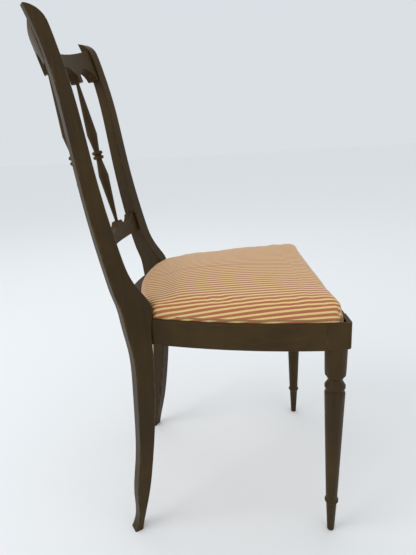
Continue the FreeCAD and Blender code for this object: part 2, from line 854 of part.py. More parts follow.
side_blank = side_rail_blank()
doc.recompute()
outermost = min((edge for edge in side_blank.Shape.Edges
                 if abs(edge.BoundBox.ZMin - rail_top) < 0.01 and edge.Length > 200),
                key=lambda edge: edge.CenterOfMass.x)
side_rounded = round_edges("side_rounded", side_blank, size("rail_arris"), outermost.isSame)
side_shoulder = cut("side_shoulder", side_rounded, [rear_plain])
side_rail = finish(fuse("side_rail_right", [side_shoulder, tenons["side_front"][0],
                                            tenons["side_rear"][0]]), "side_seat_rail_right")
finish(mirrored(side_rail, "side_rail_left"), "side_seat_rail_left")

front_tenon_left = mirrored(tenons["front"][0], "front_tenon_left")
finish(fuse("front_rail", [front_rail_blank(), tenons["front"][0], front_tenon_left]),
       "front_seat_rail")

both_stiles = [rear_plain, rear_plain_left]
side_shoulder_left = mirrored(side_shoulder, "side_shoulder_left")
side_mortise = tenons["side_rear"][1]
side_mortise_left = mirrored(side_mortise, "side_mortise_left")
rear_shoulder = cut("rear_shoulder", rear_rail_blank(),
                    both_stiles + [side_shoulder, side_shoulder_left, side_mortise, side_mortise_left])
rear_tenon_left = mirrored(tenons["rear"][0], "rear_tenon_left")
finish(fuse("rear_rail", [rear_shoulder, tenons["rear"][0], rear_tenon_left]), "rear_seat_rail")

sockets = [spindle_socket("spindle_socket", x) for x in
           (-size("spindle_spread"), 0, size("spindle_spread"))]


def back_rail(name, place, elevation, outer, inner, high, tenon):
    """One curved rail of the back between the stiles, with its tenons and sockets."""
    plan = back_plan(name + "_plan", place, outer, inner, high)
    blank = common(name + "_blank", [plan, elevation])
    shoulder = cut(name + "_shoulder", blank, both_stiles + [horn, horn_left])
    whole = fuse(name + "_tenoned", [shoulder, tenon, mirrored(tenon, name + "_tenon_left")])
    return finish(cut(name, whole, sockets), name)


crest_rail = back_rail("crest_rail", crest_place, crest_elevation(crest_place),
                       "Sizes.barrel_radius + Sizes.crest_back_step",
                       "Sizes.barrel_radius + Sizes.crest_back_step - Sizes.crest_thickness",
                       size("crest_end") + 5, tenons["crest"][0])
cross_rail = back_rail("back_cross_rail", cross_place, cross_elevation(cross_place),
                       "Sizes.barrel_radius + Sizes.cross_thickness / 2",
                       "Sizes.barrel_radius - Sizes.cross_thickness / 2",
                       size("cross_horn") + 5, tenons["cross"][0])

for name, x in (("spindle_right", -size("spindle_spread")), ("spindle_middle", 0),
                ("spindle_left", size("spindle_spread"))):
    finish(spindle(name, x), name)


# Corner blocks, glued inside the rails

block_z = rail_under + size("corner_block_lift")


def corner_prism(name, corner, toward):
    """Five-sided block with its right angle at a corner of the rails."""
    body = new_body(name, Placement(Vector(corner.x, corner.y, block_z), Rotation()))
    sketch = new_sketch(body, "BlockPlan")
    leg = "Sizes.corner_block_leg"
    toe = "Sizes.corner_block_toe"
    sign = "" if toward > 0 else "-"
    past_rail = size("rail_thickness")
    draw(sketch, [
        (-past_rail, -past_rail * toward),
        (leg, -past_rail * toward),
        (leg, f"{sign}{toe}"),
        (toe, f"{sign}{leg}"),
        (-past_rail, f"{sign}{leg}"),
    ])
    pad(body, sketch, "Sizes.corner_block_height")
    return body


front_corner = Vector(-(front_half - size("rail_thickness")), front_y + size("rail_thickness"), 0)
rear_y = front_y + size("rear_rail_reach") - size("rear_rail_thickness")
rear_corner_x = -(back_half - size("stile_width") / 2 - 6)
rear_corner = Vector(rear_corner_x, rear_y - on_barrel(abs(rear_corner_x)) - 2, 0)

low, high = block_z - 1, block_z + size("corner_block_height") + 1
inside_sides = disc("inside_side_rails", "Sizes.side_bow - Sizes.rail_thickness", side_centre, low, high)
inside_rear = disc("inside_rear_rail", "Sizes.rear_rail_inner_radius",
                   Vector(0, rear_y - size("rear_rail_inner_radius"), 0), low, high)
inside_front = slab("inside_front_rail", -front_half, 0, front_y + size("rail_thickness"),
                    front_y + 2 * front_half, low, high)
for name, corner, toward, bounds, leg in (
        ("corner_block_front", front_corner, 1, inside_front, front_leg_right),
        ("corner_block_rear", rear_corner, -1, inside_rear, rear_leg_right)):
    prism = corner_prism(name + "_prism", corner, toward)
    fitted = common(name + "_fitted", [prism, inside_sides, bounds])
    right = finish(cut(name + "_right", fitted, [leg]), name + "_right")
    finish(mirrored(right, name + "_left"), name + "_left")


# Loose seat: a frame of four bars with webs, hessian, stuffing and a cover

cover = size("cover_thickness")
cover_front = size("front_lip") + size("seat_gap")
seat_low = ledge_z + size("rest_gap")
frame_low = seat_low + cover
frame_high = frame_low + size("seat_frame_thickness")
edge_inset = size("side_lip") + size("seat_gap")


def circle_meeting(centre_a, radius_a, centre_b, radius_b):
    """The meeting point, on the side of -X, of two circles in plan."""
    span = centre_b - centre_a
    along = (radius_a ** 2 - radius_b ** 2 + span.Length ** 2) / (2 * span.Length)
    across = math.sqrt(radius_a ** 2 - along ** 2)
    unit = span / span.Length
    foot = centre_a + unit * along
    points = [foot + Vector(-unit.y, unit.x, 0) * across * sign for sign in (1, -1)]
    return max(points, key=lambda point: point.y)


def seat_outline(sketch, inset, ease=0.0):
    """Bell-shaped outline of the loose seat, an inset inside its cover's outer face.

    Two bowed sides, a rear arc and a straight front join through round corners;
    ease is added to the radius of the corners.
    """
    side_radius = size("side_bow") - edge_inset - inset
    rear_radius = size("seat_rear_radius") - inset
    front = front_y + cover_front + inset
    r_front = size("seat_front_corner") - inset + ease
    r_rear = size("seat_rear_corner") - inset + ease
    reach = side_radius - r_front
    front_round = Vector(side_centre.x - math.sqrt(reach ** 2 - (front + r_front - side_centre.y) ** 2),
                         front + r_front, 0)
    rear_round = circle_meeting(side_centre, side_radius - r_rear, seat_rear_centre,
                                rear_radius - r_rear)

    def away(centre, start, radius):
        return start + (start - centre).normalize() * radius

    side_front_end = away(side_centre, front_round, r_front)
    side_rear_end = away(side_centre, rear_round, r_rear)
    rear_end = away(seat_rear_centre, rear_round, r_rear)
    front_end = Vector(front_round.x, front, 0)

    def mirror(point):
        return Vector(-point.x, point.y, 0)

    draw(sketch, [
        (*front_end[:2],),
        (*side_front_end[:2], r_front, -1),
        (*side_rear_end[:2], side_radius, -1),
        (*rear_end[:2], r_rear, -1),
        (*mirror(rear_end)[:2], rear_radius, -1),
        (*mirror(side_rear_end)[:2], r_rear, -1),
        (*mirror(side_front_end)[:2], side_radius, -1),
        (*mirror(front_end)[:2], r_front, -1),
    ])


def seat_prism(name, inset, low, high, ease=0.0):
    """Flat-sided solid on the seat's outline."""
    body = new_body(name, Placement(Vector(0, 0, low), Rotation()))
    sketch = new_sketch(body, "SeatOutline")
    seat_outline(sketch, inset, ease)
    pad(body, sketch, f"{high - low}")
    return body


def pillow(name, low, grow):
    """Cushion form: upright sides, a rolled edge and a low crown; grow is an offset outward."""
    edge_z = rail_top + size("cushion_edge") + grow
    prism = seat_prism(name + "_prism", cover - grow, low, edge_z)
    doc.recompute()
    rolled = round_edges(name + "_rolled", prism, size("cushion_roll") + grow,
                         lambda edge: edge.BoundBox.ZMin > edge_z - 0.01)
    middle_y = front_y + (cover_front + size("seat_rear_reach")) / 2
    crown = size("cushion_crown")
    radius = radius_of(2 * size("crown_reach"), crown)
    ball = doc.addObject("Part::Sphere", name + "_ball")
    ball.Radius = radius + grow
    ball.Placement = Placement(Vector(0, middle_y, edge_z - grow + crown - radius), Rotation(X_AXIS, 90))
    reach = size("front_width")
    above = slab(name + "_above", -reach, reach, middle_y - reach, middle_y + reach, edge_z - 0.4, edge_z + 50)
    return fuse(name, [rolled, common(name + "_crown", [ball, above])])


frame_prism = seat_prism("seat_frame_prism", cover, frame_low, frame_high)
bar = size("seat_bar_width")
reach = size("front_width")
seat_front_y = front_y + cover_front + cover
seat_rear_y = front_y + size("seat_rear_reach") - cover
rear_bar_y = seat_rear_y - bar - 22

front_slab = slab("front_bar_slab", -reach, reach, seat_front_y - 5, seat_front_y + bar,
                  frame_low - 1, frame_high + 1)
rear_slab = slab("rear_bar_slab", -reach, reach, rear_bar_y, seat_rear_y + 5,
                 frame_low - 1, frame_high + 1)
middle_slab = slab("middle_bar_slab", -reach, reach, seat_front_y + bar, rear_bar_y,
                   frame_low - 1, frame_high + 1)
bar_inset = "Sizes.side_lip + Sizes.seat_gap + Sizes.cover_thickness + Sizes.seat_bar_width"
inner_disc = disc("side_bar_inner", f"Sizes.side_bow - ({bar_inset})",
                  side_centre, frame_low - 1, frame_high + 1)
right_half = slab("right_half", -reach, 0, front_y, front_y + 2 * reach, frame_low - 1, frame_high + 1)


def seat_tenon(name, y):
    """Tenon of the right side bar across a joint line of the seat frame, with its mortise."""
    middle, _ = side_tangent(y)
    x = middle.x + edge_inset + cover + bar / 2 - (size("rail_thickness") + size("side_lip")) / 2
    z = (frame_low + frame_high - size("seat_tenon_thickness")) / 2
    return tenon_pair(name, Placement(Vector(x, y, z), Rotation()), "Sizes.seat_tenon_width",
                      "Sizes.seat_tenon_thickness", "2 * Sizes.tenon_length")


front_tongue, front_pocket = seat_tenon("bar_front", seat_front_y + bar)
rear_tongue, rear_pocket = seat_tenon("bar_rear", rear_bar_y)

for name, bar_slab, pocket in (("seat_frame_front", front_slab, front_pocket),
                               ("seat_frame_rear", rear_slab, rear_pocket)):
    whole = common(name + "_whole", [frame_prism, bar_slab])
    finish(cut(name, whole, [pocket, mirrored(pocket, name + "_pocket_left")]), name)
side_bar = cut("side_bar", common("side_bar_whole", [frame_prism, middle_slab, right_half]), [inner_disc])
side_tongued = finish(fuse("side_bar_tongued", [side_bar, front_tongue, rear_tongue]),
                      "seat_frame_side_right")
finish(mirrored(side_tongued, "side_bar_left"), "seat_frame_side_left")

# Webs under the hessian: three front to back, two across on top of them

web = size("web_thickness")
web_z = frame_high


def web_strip(name, x0, x1, y0, y1, low):
    """One strip of webbing."""
    solid = doc.addObject("Part::Box", name)
    solid.Length = x1 - x0
    solid.Width = y1 - y0
    bind(solid, Height="Sizes.web_thickness")
    solid.Placement = Placement(Vector(x0, y0, low), Rotation())
    return finish(solid, name)


strip = size("web_width")
web_front_y = seat_front_y + size("web_front_margin")
web_rear_y = rear_bar_y + size("web_rear_lap")
for name, place in (("seat_web_right", -1), ("seat_web_middle", 0), ("seat_web_left", 1)):
    x = place * size("web_spacing")
    web_strip(name, x - strip / 2, x + strip / 2, web_front_y, web_rear_y, web_z)
for name, line in (("seat_web_front", "web_front_line"), ("seat_web_rear", "web_rear_line")):
    y = seat_front_y + size(line)
    point, heading = side_tangent(y)
    half = -point.x - size("web_side_margin")
    web_strip(name, -half, half, y - strip / 2, y + strip / 2, web_z + web)

hessian_z = web_z + 2 * web
hessian_high = hessian_z + size("hessian_thickness")
finish(seat_prism("seat_hessian", cover + size("hessian_inset"), hessian_z, hessian_high), "seat_hessian")

stuffing = finish(pillow("seat_stuffing", hessian_high, 0.0), "seat_stuffing")

cover_outer = pillow("cover_outer", seat_low, cover)
cover_core = seat_prism("cover_core", cover, frame_low, hessian_high)
cover_mouth = seat_prism("cover_mouth", size("cover_turn_under"), seat_low - 1, frame_low,
                         ease=size("cover_turn_under"))
finish(cut("seat_cover", cover_outer, [cover_core, stuffing, cover_mouth]), "seat_cover")

doc.recompute()

failed = [o.Name for o in doc.Objects if "Invalid" in o.State or "Error" in o.State]
for name, obj in nodes:
    shape = obj.Shape
    if shape.isNull() or not shape.isValid() or not shape.Solids:
        failed.append(name)
if failed:
    raise RuntimeError("not built: " + ", ".join(failed))

os.makedirs("parts", exist_ok=True)
for name, obj in nodes:
    obj.Shape.exportStep(os.path.join("parts", name + ".step"))
    bounds = obj.Shape.BoundBox
    print(f"{name:26s} solids {len(obj.Shape.Solids)} volume {obj.Shape.Volume / 1000:9.1f} cm3 "
          f"y {bounds.YMin:7.1f} {bounds.YMax:7.1f} z {bounds.ZMin:6.1f} {bounds.ZMax:6.1f}")
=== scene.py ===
import bpy
import bmesh
import math
from mathutils import Matrix, Vector
from bpy.props import FloatProperty, FloatVectorProperty, IntProperty, PointerProperty


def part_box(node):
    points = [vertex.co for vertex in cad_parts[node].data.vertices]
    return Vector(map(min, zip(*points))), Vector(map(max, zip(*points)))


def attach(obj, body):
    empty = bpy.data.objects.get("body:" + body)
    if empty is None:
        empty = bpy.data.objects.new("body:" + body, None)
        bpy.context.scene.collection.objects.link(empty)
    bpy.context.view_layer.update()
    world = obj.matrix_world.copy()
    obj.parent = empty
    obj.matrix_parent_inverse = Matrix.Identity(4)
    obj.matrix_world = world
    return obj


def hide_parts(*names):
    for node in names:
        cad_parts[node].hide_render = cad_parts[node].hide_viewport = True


bl_info = {
    "name": "Spindle Back Chair",
    "version": (1, 0, 0),
    "blender": (4, 5, 0),
    "location": "View3D > Sidebar > Chair",
    "description": "Dresses a packed dining chair: stained wood, a stuffed striped seat, tacks, stage",
    "category": "Object",
}

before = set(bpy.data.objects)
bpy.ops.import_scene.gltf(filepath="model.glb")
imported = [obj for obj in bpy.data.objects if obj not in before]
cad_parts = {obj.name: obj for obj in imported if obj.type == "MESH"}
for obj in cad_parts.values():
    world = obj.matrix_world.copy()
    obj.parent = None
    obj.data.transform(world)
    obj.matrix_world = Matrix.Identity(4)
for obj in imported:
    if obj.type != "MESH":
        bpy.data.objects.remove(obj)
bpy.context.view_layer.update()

SEAT_BODY = "slip_seat"
GRAIN_ALONG = {"X": ("crest", "back_cross", "front_seat", "rear_seat", "seat_frame_front", "seat_frame_rear"),
               "Y": ("side_seat", "seat_frame_side"),
               "Z": ("rear_leg", "front_leg", "spindle", "corner_block")}
BARE_WOOD = ("corner_block", "seat_frame")

# Wood: noise scales per metre, lengths in metres
GRAIN_SQUEEZE = 0.06
STREAK_SCALE = 150.0
PORE_SCALE = 700.0
PATCH_SCALE = 9.0
NICK_SCALE = 45.0
ARRIS_RADIUS = 0.0022
PORE_DEPTH = 0.0004
WORN_GAIN = 1.8
GLOSS_SPREAD = 0.16
WOOD_SPECULAR = 0.2
STAIN_RELIEF, STAIN_WEAR = 0.25, 0.8
BARE_ROUGHNESS, BARE_RELIEF, BARE_DARK_SHARE = 0.7, 0.5, 0.75

# Cloths
WAVER_SCALE, WAVER_REACH = 5.0, 0.0016
THREAD_SCALE, THREAD_DEPTH = 900.0, 0.0003
WEBBING_COLOUR, WEBBING_PITCH = (0.45, 0.34, 0.18), 0.0022
HESSIAN_COLOUR, HESSIAN_PITCH = (0.50, 0.38, 0.22), 0.0014
WAVE_TURNS = 3.2
WEAVE_DEPTH = 0.0006

# Cushion: where the swell fades at the rails and before the stiles
RAIL_FADE = (-0.002, 0.012)
STILE_FADE = (-0.05, -0.01)
SEAM_FADE = 0.02
CORNER_SET, PLEAT_REACH, PLEAT_START, PLEAT_SPREAD = 0.014, 0.034, 0.012, 0.16
CREASE_SET, CREASE_WIDTH, CREASE_DEPTH = 0.048, 0.006, 0.0009
ROLL_SET, ROLL_WIDTH, ROLL_HEIGHT = 0.012, 0.009, 0.0007
RIDGE_SET, RIDGE_WIDTH, RIDGE_HEIGHT = 0.02, 0.006, 0.0010

# Tacks
TACK_RADIUS, TACK_EDGE, TACK_FLATNESS = 0.0032, 0.0004, 0.4
TACK_INSET, TACK_SET = 0.011, 0.0006
FRONT_MARGIN, REAR_HALF, REAR_BOW = 0.02, 0.118, 0.66

# Stage: name, place, size in metres and power in watts of each lamp
LAMPS = (("window", (-1.0, 2.2, 2.4), 1.6, 24.0),
         ("fill", (-2.0, -1.6, 1.8), 2.2, 6.0),
         ("back", (1.6, 0.6, 2.4), 1.8, 6.0))
LAMP_AIM = (0, 0, 0.45)
FLOOR_REACH = 14.0


def colour(name, description, default):
    """Colour setting."""
    return FloatVectorProperty(name=name, description=description, subtype="COLOR", size=3,
                               default=default)


def length(name, description, default):
    """Length setting in metres."""
    return FloatProperty(name=name, description=description, subtype="DISTANCE", unit="LENGTH",
                         default=default)


class ChairSettings(bpy.types.PropertyGroup):
    """Everything that can be set on the dressed chair."""
    stain: colour("Stain", "Stained wood in its grain", (0.024, 0.0125, 0.0012))
    stain_worn: colour("Worn stain", "Stained wood where it is worn", (0.110, 0.060, 0.012))
    bare_wood: colour("Bare wood", "Seat bars and corner blocks", (0.34, 0.20, 0.09))
    polish: FloatProperty(name="Polish", description="Roughness of the stained wood",
                          default=0.42, min=0.05, max=1.0)
    stripe_pale: colour("Pale stripe", "Cream stripe of the cover", (0.78, 0.58, 0.22))
    stripe_rust: colour("Rust stripe", "Rust stripe of the cover", (0.42, 0.125, 0.052))
    stripe_period: length("Stripe period", "From one rust stripe to the next", 0.0100)
    cushion_voxel: length("Cushion voxel", "Mesh size of the cushion", 0.0045)
    cushion_pressure: FloatProperty(name="Cushion pressure", description="Pressure of the stuffing",
                                    default=4.0)
    cushion_frames: IntProperty(name="Cushion frames", description="Steps of the cloth simulation",
                                default=20)
    cushion_cap: length("Largest swell", "Furthest that the cloth may move", 0.006)
    cushion_rise: FloatProperty(name="Cushion rise", description="Stretch above the rails",
                                default=1.14)
    corner_pleat: length("Corner pleat", "Depth of the pleat at a front corner", 0.0035)
    tack_pitch: length("Tack pitch", "Widest spacing of the tacks", 0.038)
    backdrop: colour("Backdrop", "Floor, and the light of the sky", (0.825, 0.846, 0.863))
    backdrop_seen: colour("Backdrop behind", "Sky as the camera sees it", (0.707, 0.745, 0.775))


def settings():
    """The chair's settings in this scene."""
    return bpy.context.scene.chair


# Shared helpers

def new_material(name):
    """An empty node material, its node adder and its shader."""
    material = bpy.data.materials.new(name)
    material.use_nodes = True
    tree = material.node_tree
    shader = tree.nodes["Principled BSDF"]

    def add(kind, **values):
        node = tree.nodes.new(kind)
        for key, value in values.items():
            if hasattr(node, key):
                setattr(node, key, value)
            else:
                node.inputs[key.replace("_", " ")].default_value = value
        return node

    return material, tree, shader, add


def ramp(add, stops):
    """Colour ramp node with the given (place, colour) stops."""
    node = add("ShaderNodeValToRGB")
    elements = node.color_ramp.elements
    while len(elements) < len(stops):
        elements.new(0.5)
    for element, (place, colour) in zip(elements, stops):
        element.position = place
        element.color = (*colour, 1.0)
    return node


def grey(value):
    """Colour of equal parts."""
    return (value, value, value)


# Wood

def wood_material(name, along, dark, light, roughness, bump, wear):
    """Stained wood with its grain along one axis and worn arrises."""
    material, tree, shader, add = new_material(name)
    link = tree.links.new
    place = add("ShaderNodeTexCoord")
    stretch = add("ShaderNodeMapping")
    stretch.inputs["Scale"].default_value = [GRAIN_SQUEEZE if axis == along else 1.0 for axis in "XYZ"]
    link(place.outputs["Object"], stretch.inputs["Vector"])
    streaks = add("ShaderNodeTexNoise", Scale=STREAK_SCALE, Detail=8.0, Roughness=0.65)
    link(stretch.outputs["Vector"], streaks.inputs["Vector"])
    pores = add("ShaderNodeTexNoise", Scale=PORE_SCALE, Detail=3.0, Roughness=0.7)
    link(stretch.outputs["Vector"], pores.inputs["Vector"])
    patches = add("ShaderNodeTexNoise", Scale=PATCH_SCALE, Detail=5.0, Roughness=0.6)
    link(place.outputs["Object"], patches.inputs["Vector"])

    middle = [(a + b) / 2 for a, b in zip(dark, light)]
    tone = ramp(add, [(0.25, dark), (0.62, [d * 1.5 for d in dark]), (0.85, middle)])
    link(streaks.outputs["Fac"], tone.inputs["Fac"])
    patch_mask = ramp(add, [(0.42, grey(0.0)), (0.72, grey(0.55))])
    link(patches.outputs["Fac"], patch_mask.inputs["Fac"])
    patched = add("ShaderNodeMix", data_type="RGBA")
    link(patch_mask.outputs["Color"], patched.inputs["Factor"])
    link(tone.outputs["Color"], patched.inputs[6])
    patched.inputs[7].default_value = (*middle, 1.0)

    geometry = add("ShaderNodeNewGeometry")
    soft = add("ShaderNodeBevel", samples=4, Radius=ARRIS_RADIUS)
    facing = add("ShaderNodeVectorMath", operation="DOT_PRODUCT")
    link(geometry.outputs["Normal"], facing.inputs[0])
    link(soft.outputs["Normal"], facing.inputs[1])
    edge = ramp(add, [(0.90, grey(1.0)), (0.985, grey(0.0))])
    link(facing.outputs["Value"], edge.inputs["Fac"])
    nicks = add("ShaderNodeTexNoise", Scale=NICK_SCALE, Detail=6.0, Roughness=0.7)
    link(place.outputs["Object"], nicks.inputs["Vector"])
    nick_mask = ramp(add, [(0.48, grey(0.0)), (0.64, grey(wear))])
    link(nicks.outputs["Fac"], nick_mask.inputs["Fac"])
    worn = add("ShaderNodeMath", operation="MULTIPLY")
    link(edge.outputs["Color"], worn.inputs[0])
    link(nick_mask.outputs["Color"], worn.inputs[1])
    final = add("ShaderNodeMix", data_type="RGBA")
    link(worn.outputs["Value"], final.inputs["Factor"])
    link(patched.outputs[2], final.inputs[6])
    final.inputs[7].default_value = (*[c * WORN_GAIN for c in light], 1.0)
    link(final.outputs[2], shader.inputs["Base Color"])

    gloss = ramp(add, [(0.3, grey(roughness)), (0.75, grey(roughness + GLOSS_SPREAD))])
    link(patches.outputs["Fac"], gloss.inputs["Fac"])
    link(gloss.outputs["Color"], shader.inputs["Roughness"])
    shader.inputs["Specular IOR Level"].default_value = WOOD_SPECULAR
    relief = add("ShaderNodeBump", Strength=bump, Distance=PORE_DEPTH)
    link(pores.outputs["Fac"], relief.inputs["Height"])
    link(soft.outputs["Normal"], relief.inputs["Normal"])
    link(relief.outputs["Normal"], shader.inputs["Normal"])
    return material


class CHAIR_OT_wood(bpy.types.Operator):
    """Stained and polished wood on the frame, bare wood under the seat"""
    bl_idname = "chair.wood"
    bl_label = "Dress the wood"

    def execute(self, context):
        values = settings()
        for along, prefixes in GRAIN_ALONG.items():
            stained = wood_material(f"stained_wood_{along}", along, values.stain, values.stain_worn,
                                    values.polish, STAIN_RELIEF, STAIN_WEAR)
            bare = wood_material(f"bare_wood_{along}", along,
                                 [c * BARE_DARK_SHARE for c in values.bare_wood],
                                 values.bare_wood, BARE_ROUGHNESS, BARE_RELIEF, 0.0)
            for name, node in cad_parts.items():
                if name.startswith(prefixes):
                    node.data.materials.clear()
                    node.data.materials.append(bare if name.startswith(BARE_WOOD) else stained)
        return {"FINISHED"}


# Cloths

def stripe_material(values):
    """Striped satin weave that reads the stripe attribute, in metres across the cloth."""
    material, tree, shader, add = new_material("striped_cover")
    link = tree.links.new
    across = add("ShaderNodeAttribute", attribute_name="stripe")
    place = add("ShaderNodeTexCoord")
    waver = add("ShaderNodeTexNoise", Scale=WAVER_SCALE, Detail=0.0)
    link(place.outputs["Object"], waver.inputs["Vector"])
    shift = add("ShaderNodeMath", operation="MULTIPLY_ADD")
    link(waver.outputs["Fac"], shift.inputs[0])
    shift.inputs[1].default_value = WAVER_REACH
    link(across.outputs["Fac"], shift.inputs[2])
    turns = add("ShaderNodeMath", operation="DIVIDE")
    link(shift.outputs["Value"], turns.inputs[0])
    turns.inputs[1].default_value = values.stripe_period
    phase = add("ShaderNodeMath", operation="FRACT")
    link(turns.outputs["Value"], phase.inputs[0])
    pale, rust = list(values.stripe_pale), list(values.stripe_rust)
    middle = [(a + b) / 2 for a, b in zip(pale, rust)]
    bands = ramp(add, [(0.0, pale), (0.13, pale), (0.20, middle), (0.27, rust), (0.73, rust),
                       (0.80, middle), (0.87, pale), (1.0, pale)])
    link(phase.outputs["Value"], bands.inputs["Fac"])
    thread = add("ShaderNodeTexNoise", Scale=THREAD_SCALE, Detail=2.0, Roughness=0.8)
    link(place.outputs["Object"], thread.inputs["Vector"])
    thread_tone = ramp(add, [(0.3, grey(0.82)), (0.7, grey(1.06))])
    link(thread.outputs["Fac"], thread_tone.inputs["Fac"])
    wash = add("ShaderNodeMix", data_type="RGBA", blend_type="MULTIPLY")
    wash.inputs["Factor"].default_value = 1.0
    link(bands.outputs["Color"], wash.inputs[6])
    link(thread_tone.outputs["Color"], wash.inputs[7])
    link(wash.outputs[2], shader.inputs["Base Color"])
    shader.inputs["Roughness"].default_value = 0.62
    shader.inputs["Sheen Weight"].default_value = 0.15
    weave = add("ShaderNodeBump", Strength=0.35, Distance=THREAD_DEPTH)
    link(thread.outputs["Fac"], weave.inputs["Height"])
    link(weave.outputs["Normal"], shader.inputs["Normal"])
    return material


def weave_material(name, colour, pitch):
    """Plain woven jute on object coordinates."""
    material, tree, shader, add = new_material(name)
    link = tree.links.new
    place = add("ShaderNodeTexCoord")
    threads = []
    for direction in ("X", "Y"):
        wave = add("ShaderNodeTexWave", bands_direction=direction, Scale=1.0 / pitch / WAVE_TURNS,
                   Distortion=0.6)
        link(place.outputs["Object"], wave.inputs["Vector"])
        threads.append(wave)
    mesh = add("ShaderNodeMath", operation="MULTIPLY")
    link(threads[0].outputs["Fac"], mesh.inputs[0])
    link(threads[1].outputs["Fac"], mesh.inputs[1])
    tone = ramp(add, [(0.0, [c * 0.45 for c in colour]), (0.7, colour)])
    link(mesh.outputs["Value"], tone.inputs["Fac"])
    link(tone.outputs["Color"], shader.inputs["Base Color"])
    shader.inputs["Roughness"].default_value = 0.9
    relief = add("ShaderNodeBump", Strength=0.6, Distance=WEAVE_DEPTH)
    link(mesh.outputs["Value"], relief.inputs["Height"])
    link(relief.outputs["Normal"], shader.inputs["Normal"])
    return material


class CHAIR_OT_cloths(bpy.types.Operator):
    """Jute webs and hessian"""
    bl_idname = "chair.cloths"
    bl_label = "Dress the cloths"

    def execute(self, context):
        webbing = weave_material("webbing", WEBBING_COLOUR, WEBBING_PITCH)
        hessian = weave_material("hessian", HESSIAN_COLOUR, HESSIAN_PITCH)
        for name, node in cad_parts.items():
            if name.startswith(("seat_web", "seat_hessian")):
                node.data.materials.clear()
                node.data.materials.append(webbing if name.startswith("seat_web") else hessian)
        return {"FINISHED"}


def smooth_step(low, high, value):
    """0 below low, 1 above high, and a smooth rise between them."""
    part = min(max((value - low) / (high - low), 0.0), 1.0)
    return part * part * (3 - 2 * part)


def convex_copy(node, name):
    """Closed convex mesh around a CAD node."""
    mesh = bpy.data.meshes.new(name)
    shape = bmesh.new()
    shape.from_mesh(node.data)
    bmesh.ops.remove_doubles(shape, verts=shape.verts, dist=1e-5)
    hull = bmesh.ops.convex_hull(shape, input=shape.verts)
    inner = hull["geom_interior"] + hull["geom_unused"]
    spare = [v for v in inner if isinstance(v, bmesh.types.BMVert)]
    bmesh.ops.delete(shape, geom=list(set(spare)), context="VERTS")
    loose = [f for f in shape.faces if f not in set(hull["geom"])]
    bmesh.ops.delete(shape, geom=loose, context="FACES_ONLY")
    bmesh.ops.recalc_face_normals(shape, faces=shape.faces)
    shape.to_mesh(mesh)
    shape.free()
    piece = bpy.data.objects.new(name, mesh)
    bpy.context.scene.collection.objects.link(piece)
    return piece


def apply_modifier(piece, modifier):
    """Bake one modifier into its piece."""
    bpy.context.view_layer.objects.active = piece
    for other in bpy.context.selected_objects:
        other.select_set(False)
    piece.select_set(True)
    bpy.ops.object.modifier_apply(modifier=modifier.name)


def swell(piece, values):
    """Inflate a closed mesh a little, as stuffing under a tight cover does."""
    cloth = piece.modifiers.new("Cloth", "CLOTH")
    cloth.settings.use_pressure = True
    cloth.settings.uniform_pressure_force = values.cushion_pressure
    cloth.settings.effector_weights.gravity = 0.0
    cloth.point_cache.frame_start = 1
    cloth.point_cache.frame_end = values.cushion_frames
    for step in range(1, values.cushion_frames + 1):
        bpy.context.scene.frame_set(step)
        bpy.context.view_layer.update()
    apply_modifier(piece, cloth)


